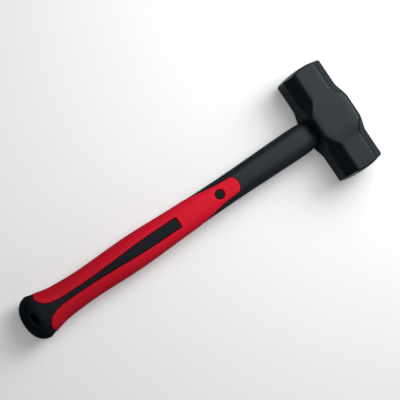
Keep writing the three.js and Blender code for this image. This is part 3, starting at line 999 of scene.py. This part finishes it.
def soft_red():
    """Red thermoplastic rubber, matt, with painted shade that darkens it towards the butt, where the light
    falls off.
    """
    finish = Finish("soft_red", Specular_IOR_Level=0.1)
    cloud = finish.noise(22 * MM, 3)
    grain = finish.noise(0.5 * MM, 3)
    base_tone = finish.blend(cloud, (0.82, 0.0082, 0.028), (0.88, 0.0105, 0.035))
    # Painted shade: towards the butt the red is mixed to a darker red, standing in for the light falling
    # off there.
    painted_butt_shade = finish.span(finish.axis("X"), INLAY_END, BUTT_END, 0, 0.9)
    finish.feed("Base Color", finish.blend(painted_butt_shade, base_tone, (0.58, 0.007, 0.02)))
    sheen = finish.span(cloud, 0.3, 0.7, 0.44, 0.56)
    finish.feed("Roughness", finish.math("ADD", sheen, finish.span(grain, 0, 1, 0, 0.08)))
    finish.bump((grain, 0.03 * MM), (finish.noise(7 * MM, 1), 0.03 * MM))
    return finish.material


def soft_black():
    """Black thermoplastic rubber, duller than the shaft, and duller still on the butt with a flatter
    blue-black colour there: painted shade for the light falling off towards the butt.
    """
    finish = Finish("soft_black", Specular_Tint=(0.86, 0.98, 1))
    cloud = finish.noise(15 * MM, 3)
    grain = finish.noise(0.5 * MM, 3)
    # Painted shade: past the inlay's tail the rubber turns flatter and less glossy, so the butt reads dim,
    # standing in for the light falling off there.
    butt_shade_mask = finish.span(finish.axis("X"), INLAY_TAIL, INLAY_TAIL - 15 * MM)
    base_tone = finish.blend(cloud, (0.005, 0.0068, 0.0095), (0.009, 0.0108, 0.014))
    finish.feed("Base Color", finish.blend(butt_shade_mask, base_tone, (0.0105, 0.015, 0.0175)))
    finish.feed("Specular IOR Level", finish.span(butt_shade_mask, 0, 1, 0.16, 0.04))
    sheen = finish.span(cloud, 0.3, 0.7, 0.5, 0.58)
    finish.feed("Roughness", finish.math("ADD", sheen, finish.span(grain, 0, 1, 0, 0.08)))
    finish.bump((grain, 0.03 * MM))
    return finish.material


def resin():
    """Poured epoxy, dark amber and cloudy, with a slightly uneven surface."""
    finish = Finish("resin", Specular_IOR_Level=0.5)
    cloud = finish.noise(6 * MM, 3)
    finish.feed("Base Color", finish.blend(cloud, (0.12, 0.06, 0.02), (0.2, 0.11, 0.04)))
    finish.feed("Roughness", finish.span(cloud, 0.3, 0.7, 0.15, 0.35))
    finish.bump((finish.noise(3 * MM, 3), 0.12 * MM))
    return finish.material


def seal_rubber():
    """Black rubber, dusty in places."""
    finish = Finish("seal_rubber", Specular_IOR_Level=0.3)
    dust = finish.noise(2 * MM, 4)
    finish.feed("Base Color", finish.blend(dust, (0.008, 0.008, 0.009), (0.02, 0.02, 0.02)))
    finish.feed("Roughness", finish.span(dust, 0.3, 0.7, 0.6, 0.8))
    finish.bump((dust, 0.05 * MM))
    return finish.material


def glass_fibre():
    """Pultruded glass rod: straw-coloured resin full of fibres that run along the handle."""
    finish = Finish("glass_fibre", Specular_IOR_Level=0.5)
    fibres = finish.noise(0.35 * MM, 3, stretch=(60, 1, 1))
    finish.feed("Base Color", finish.blend(fibres, (0.34, 0.27, 0.14), (0.62, 0.54, 0.36)))
    finish.feed("Roughness", finish.span(fibres, 0.2, 0.8, 0.35, 0.65))
    finish.bump((fibres, 0.05 * MM))
    return finish.material


def bench():
    """A pale, plain, slightly mottled surface. The hammer mirrors it as a darker one: painted shade, a
    blue-grey colour that every ray but the camera's sees.
    """
    finish = Finish("bench", Specular_IOR_Level=0.1)
    mottle = finish.noise(0.4, 3)
    pale = finish.blend(mottle, (0.95, 0.95, 0.95), (0.98, 0.98, 0.98))
    seen = finish.tree.nodes.new("ShaderNodeLightPath").outputs["Is Camera Ray"]
    # Painted shade: every ray but the camera's finds the bench a dimmer blue-grey, so its reflections and
    # bounce on the hammer are dark. The camera sees it pale, lifted by a glow that only the camera sees.
    finish.feed("Base Color", finish.blend(seen, (0.34, 0.4, 0.44), pale))
    finish.feed("Emission Color", pale)
    finish.feed("Emission Strength", finish.math("MULTIPLY", seen, 0.22))
    finish.feed("Roughness", finish.span(mottle, 0, 1, 0.75, 0.9))
    return finish.material


SLOTS = {
    "hammer_head": "forged_black",
    "fibreglass_core": "glass_fibre",
    "handle_jacket": "hard_black",
    "soft_grip": "soft_red",
    "palm_inlay_front": "soft_black",
    "palm_inlay_back": "soft_black",
    "tongue_plug_front": "soft_black",
    "tongue_plug_back": "soft_black",
    "butt_cap": "soft_black",
    "eye_epoxy": "resin",
    "eye_seal": "seal_rubber",
}
materials = {
    make.__name__: make()
    for make in (forged_black, hard_black, soft_red, soft_black, resin, seal_rubber, glass_fibre)
}
for node, piece in pieces.items():
    piece.data.materials.clear()
    piece.data.materials.append(materials[SLOTS[node]])
    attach(piece, "root")
    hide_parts(node)

# ---------------------------------------------------------------------------------------------------
# Bench, light and camera
# ---------------------------------------------------------------------------------------------------

# The head outweighs the handle, so the hammer rests on the cheek's edge and the flare of the butt.
REST_X = UNDERSIDE + 1.4 * MM  # where the cheek's rounded edge touches the bench
butt_lift = AXIS_Z - FLARE_HALF_THICKNESS
bench_slope = math.atan2(butt_lift, REST_X - FLARE)

bpy.ops.mesh.primitive_plane_add(size=8, location=(REST_X, 0, 0), rotation=(0, bench_slope, 0))
floor = bpy.context.object
floor.name = "bench_top"
floor.data.materials.append(bench())

AIM = Vector((-165.2 * MM, 6.6 * MM, AXIS_Z))


def softbox(name, direction, distance, size, size_y, radiance):
    """A rectangular light that faces the head: its direction and distance from there, and its two sides."""
    data = bpy.data.lights.new(name, "AREA")
    data.shape, data.size, data.size_y = "RECTANGLE", size, size_y
    data.energy = radiance * math.pi * size * size_y
    lamp = bpy.data.objects.new(name, data)
    bpy.context.scene.collection.objects.link(lamp)
    away = Vector(direction).normalized()
    lamp.location = Vector((0, 0, AXIS_Z)) + away * distance
    lamp.rotation_euler = away.to_track_quat("Z", "Y").to_euler()


softbox("overhead", (0.46, 0.26, 0.86), 0.68, 0.58, 0.82, 2.6)
softbox("crown_side", (0.75, 0.05, 0.66), 0.8, 0.38, 0.5, 4.2)
softbox("butt_side", (-0.45, 0.2, 0.85), 1.0, 0.4, 0.9, 0.9)
softbox("front_fill", (-0.15, -0.85, 0.5), 1.3, 1.2, 0.6, 0.6)

world = bpy.data.worlds.new("studio")
bpy.context.scene.world = world
world.use_nodes = True
world.node_tree.nodes["Background"].inputs["Color"].default_value = (0.03, 0.032, 0.035, 1)

VIEW_DISTANCE = 2.5
VIEW_LEAN = math.radians(16.6)  # from straight above towards the butt
VIEW_ROLL = math.radians(33.94)
LENS = 219.4  # on a 36 mm sensor

back = Vector((-math.sin(VIEW_LEAN), 0, math.cos(VIEW_LEAN)))
level = Vector((math.cos(VIEW_LEAN), 0, math.sin(VIEW_LEAN)))
right = level * math.cos(VIEW_ROLL) - back.cross(level) * math.sin(VIEW_ROLL)
up = back.cross(right)

lens = bpy.data.cameras.new("camera")
lens.lens, lens.sensor_width = LENS, 36
lens.clip_start, lens.clip_end = 0.1, 50
camera = bpy.data.objects.new("camera", lens)
camera.matrix_world = Matrix((right, up, back)).transposed().to_4x4()
camera.location = AIM + back * VIEW_DISTANCE
bpy.context.scene.collection.objects.link(camera)
bpy.context.scene.camera = camera
bpy.context.scene.view_settings.view_transform = "Standard"
